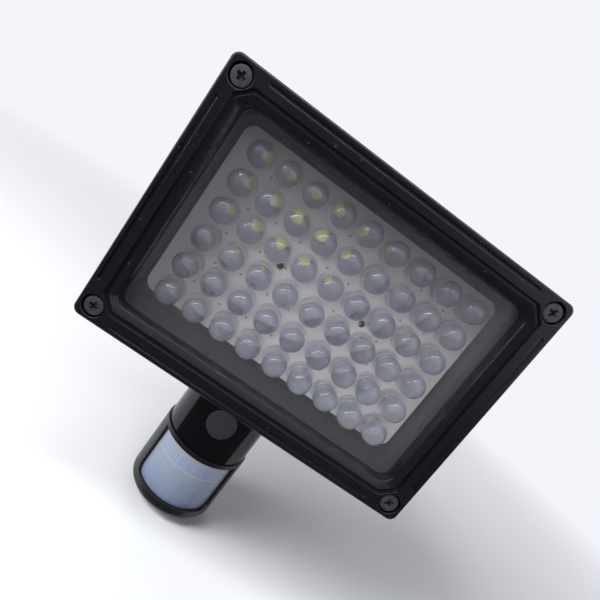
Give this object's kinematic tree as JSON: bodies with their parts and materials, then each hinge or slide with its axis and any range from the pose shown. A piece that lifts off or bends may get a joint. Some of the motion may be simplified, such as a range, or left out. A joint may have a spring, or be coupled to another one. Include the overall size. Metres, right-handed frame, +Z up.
{
  "type": "led floodlight with infrared motion sensor",
  "caption": "Wall floodlight: a black box head with rows of clear LEDs behind a window, a round motion sensor hanging below on a pan and tilt turret, and a strap bracket with clamp knobs.",
  "frame": {"origin": "middle of the strap bracket's back face, on the wall", "axes": "+Y into the wall, so the lamp looks along -Y; +Z up; +X to the right of someone facing the lamp"},
  "size_m": [0.1564, 0.118, 0.1774],
  "materials": {
    "bezel_black": "satin",
    "housing_black": "matte",
    "black_oxide_screw": "satin",
    "rubber_black": "matte",
    "clear_glass": "gloss",
    "tray_black": "matte",
    "board_white": "satin",
    "led_epoxy": "gloss",
    "brass": "satin",
    "board_green": "satin",
    "part_black": "satin",
    "steel": "satin",
    "cell_wrap": "satin",
    "strap_black": "satin",
    "knob_black": "matte",
    "sensor_gloss": "gloss",
    "sensor_satin": "satin",
    "fresnel_white": "satin",
    "smoked_window": "gloss",
    "detector_can": "satin",
    "button_grey": "matte"
  },
  "bodies": {
    "bracket": {"wall_bracket": "strap_black"},
    "head": {"front_bezel": "bezel_black", "bezel_screws": "black_oxide_screw", "window_seal": "rubber_black", "window_pane": "clear_glass", "light_tray": "tray_black", "led_board": "board_white", "led_row_1": "led_epoxy", "led_row_2": "led_epoxy", "led_row_3": "led_epoxy", "led_row_4": "led_epoxy", "led_row_5": "led_epoxy", "led_row_6": "led_epoxy", "rear_housing": "housing_black", "housing_gasket": "rubber_black", "clamp_inserts": "brass", "control_board": "board_green", "control_screws": "steel", "control_parts": "part_black", "battery_cradle": "housing_black", "battery_cells": "cell_wrap", "battery_contacts": "steel", "door_seal": "rubber_black", "battery_door": "housing_black", "door_screws": "black_oxide_screw", "charge_socket": "part_black", "socket_nut": "brass", "socket_cap": "rubber_black", "switch_block": "part_black", "switch_collar": "knob_black", "friction_washers": "rubber_black"},
    "left_clamp": {"left_knob": "knob_black", "left_stud": "steel", "left_washer": "steel"},
    "right_clamp": {"right_knob": "knob_black", "right_stud": "steel", "right_washer": "steel"},
    "button": {"mode_button": "button_grey"},
    "turret": {"sensor_turret": "sensor_satin", "turret_clip": "steel", "tilt_screw": "black_oxide_screw", "tilt_nut": "steel"},
    "sensor": {"sensor_upper_shell": "sensor_gloss", "sensor_lower_shell": "sensor_satin", "fresnel_lens": "fresnel_white", "daylight_window": "smoked_window", "sensor_board": "board_green", "pyro_detector": "detector_can", "photocell": "part_black", "trimmers": "part_black", "sensor_screws": "steel"},
    "range_setting": {"range_knob": "knob_black"},
    "lux_setting": {"lux_knob": "knob_black"},
    "time_setting": {"time_knob": "knob_black"}
  },
  "joints": [
    {"name": "head_tilt", "type": "hinge", "parent": "bracket", "child": "head", "pos_m": [0, -0.074, 0], "axis": [1, 0, 0], "range_deg": [-45, 20]},
    {"name": "left_clamp_turn", "type": "hinge", "parent": "head", "child": "left_clamp", "pos_m": [-0.0737, -0.074, 0], "axis": [-1, 0, 0], "range_deg": [0, 270]},
    {"name": "right_clamp_turn", "type": "hinge", "parent": "head", "child": "right_clamp", "pos_m": [0.0737, -0.074, 0], "axis": [1, 0, 0], "range_deg": [0, 270]},
    {"name": "mode_press", "type": "slide", "parent": "head", "child": "button", "axis": [0, -1, 0], "range_m": [0, 0.0015], "stiffness_N_per_m": 400, "springref_m": -0.001},
    {"name": "sensor_pan", "type": "hinge", "parent": "head", "child": "turret", "pos_m": [0, -0.068, -0.047], "axis": [0, 0, 1], "range_deg": [-60, 60]},
    {"name": "sensor_tilt", "type": "hinge", "parent": "turret", "child": "sensor", "pos_m": [0, -0.068, -0.0552], "axis": [1, 0, 0], "range_deg": [-25, 25]},
    {"name": "range_turn", "type": "hinge", "parent": "sensor", "child": "range_setting", "pos_m": [-0.01, -0.0725, -0.123], "axis": [0, 0, 1], "range_deg": [-135, 135]},
    {"name": "lux_turn", "type": "hinge", "parent": "sensor", "child": "lux_setting", "pos_m": [0, -0.0725, -0.123], "axis": [0, 0, 1], "range_deg": [-135, 135]},
    {"name": "time_turn", "type": "hinge", "parent": "sensor", "child": "time_setting", "pos_m": [0.01, -0.0725, -0.123], "axis": [0, 0, 1], "range_deg": [-135, 135]}
  ]
}
